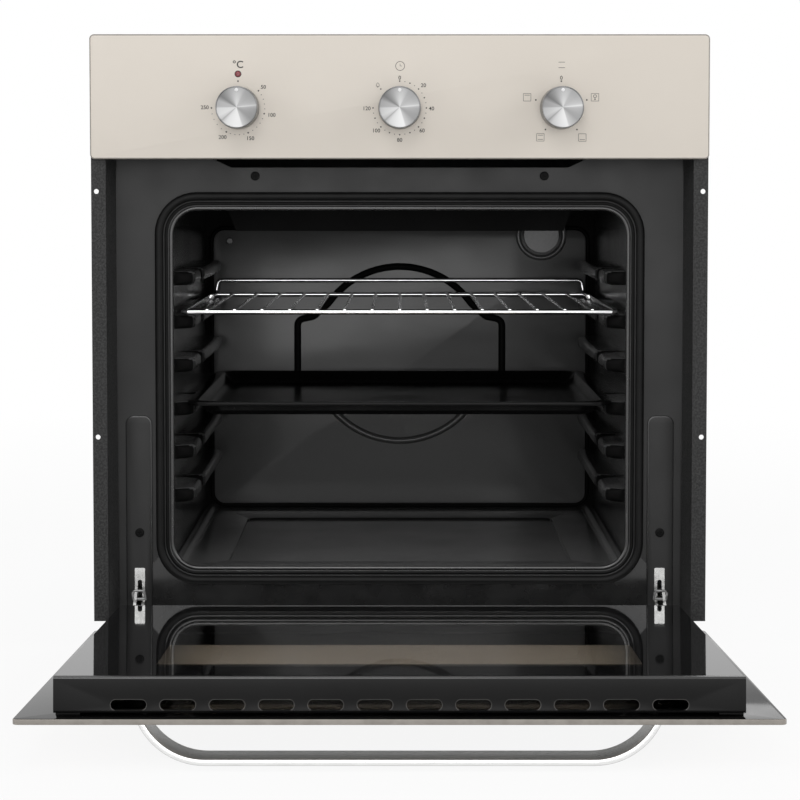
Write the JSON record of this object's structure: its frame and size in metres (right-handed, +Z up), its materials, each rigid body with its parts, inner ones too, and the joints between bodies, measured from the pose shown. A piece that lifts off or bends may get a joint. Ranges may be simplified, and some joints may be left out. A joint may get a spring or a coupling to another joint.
{
  "type": "built-in oven",
  "caption": "Built-in oven with a drop-down glass door, bowed handle, rotary control knobs, and a wire shelf and baking tray sliding on pressed cavity ribs.",
  "frame": {"origin": "centre of the underside of the base plate", "axes": "+Z up, +Y from the door towards the back, +X to the right seen from the front"},
  "size_m": [0.595, 0.9963, 0.595],
  "materials": {
    "steel": "galvanised",
    "black_paint": "satin",
    "enamel": "gloss enamel",
    "gasket": "matt",
    "wool": "fibrous",
    "element": "dark",
    "lamp_glass": "clear",
    "moulding": "matt",
    "cream": "gloss",
    "cream_glass": "back painted",
    "dark_glass": "reflective",
    "knob_metal": "spun",
    "zinc": "zinc plated",
    "lens": "translucent",
    "handle_metal": "brushed",
    "shelf_chrome": "bright"
  },
  "bodies": {
    "carcass": {"base_plate": "steel", "side_panel_left": "steel", "side_panel_right": "steel", "top_cover": "steel", "back_cover": "steel", "divider_plate": "steel", "panel_bracket": "steel", "front_frame": "black_paint", "frame_screws": "black_paint", "side_trim_left": "black_paint", "side_trim_right": "black_paint", "cavity_wall_left": "enamel", "cavity_wall_right": "enamel", "cavity_roof": "enamel", "cavity_floor": "enamel", "cavity_back": "enamel", "roof_deflector": "enamel", "door_gasket": "gasket", "insulation_wrap": "wool", "insulation_back": "wool", "top_element": "element", "bottom_element": "element", "lamp_cover": "lamp_glass", "lamp_bulb": "lamp_glass", "lamp_holder": "moulding", "terminal_block": "moulding", "thermostat": "moulding", "timer_unit": "moulding", "function_switch": "moulding", "control_panel": "cream", "hinge_receiver_left": "zinc", "hinge_receiver_right": "zinc", "hinge_pin_left": "zinc", "hinge_pin_right": "zinc", "indicator_lens": "lens"},
    "door": {"outer_glass": "cream_glass", "inner_glass": "dark_glass", "door_top_strip": "black_paint", "door_channel_left": "black_paint", "door_channel_right": "black_paint", "door_bottom_rail": "black_paint", "channel_screws": "black_paint", "handle": "handle_metal", "handle_screws": "zinc", "hinge_arm_left": "zinc", "hinge_arm_right": "zinc"},
    "temperature_control": {"temperature_knob": "knob_metal", "temperature_shaft": "zinc"},
    "timer_control": {"timer_knob": "knob_metal", "timer_shaft": "zinc"},
    "function_control": {"function_knob": "knob_metal", "function_shaft": "zinc"},
    "latch_left": {"hinge_latch_left": "zinc"},
    "latch_right": {"hinge_latch_right": "zinc"},
    "shelf": {"wire_shelf": "shelf_chrome"},
    "tray": {"baking_tray": "enamel"}
  },
  "joints": [
    {"name": "door_hinge", "type": "hinge", "parent": "carcass", "child": "door", "pos_m": [0, -0.2895, 0.0215], "axis": [1, 0, 0], "range_deg": [-86.9, 0]},
    {"name": "temperature_turn", "type": "hinge", "parent": "carcass", "child": "temperature_control", "pos_m": [-0.155, -0.2985, 0.5245], "axis": [0, 1, 0], "range_deg": [0, 270]},
    {"name": "timer_turn", "type": "hinge", "parent": "carcass", "child": "timer_control", "pos_m": [0, -0.2985, 0.5245], "axis": [0, 1, 0], "range_deg": [-45, 270]},
    {"name": "function_turn", "type": "hinge", "parent": "carcass", "child": "function_control", "pos_m": [0.155, -0.2985, 0.5245], "axis": [0, 1, 0], "continuous": true},
    {"name": "latch_left_swing", "type": "hinge", "parent": "carcass", "child": "latch_left", "pos_m": [-0.2566, -0.2645, 0.043], "axis": [1, 0, 0], "range_deg": [0, 40]},
    {"name": "latch_right_swing", "type": "hinge", "parent": "carcass", "child": "latch_right", "pos_m": [0.2566, -0.2645, 0.043], "axis": [1, 0, 0], "range_deg": [0, 40]},
    {"name": "shelf_slide", "type": "slide", "parent": "carcass", "child": "shelf", "axis": [0, -1, 0], "range_m": [0, 0.3]},
    {"name": "tray_slide", "type": "slide", "parent": "carcass", "child": "tray", "axis": [0, -1, 0], "range_m": [0, 0.3]}
  ]
}
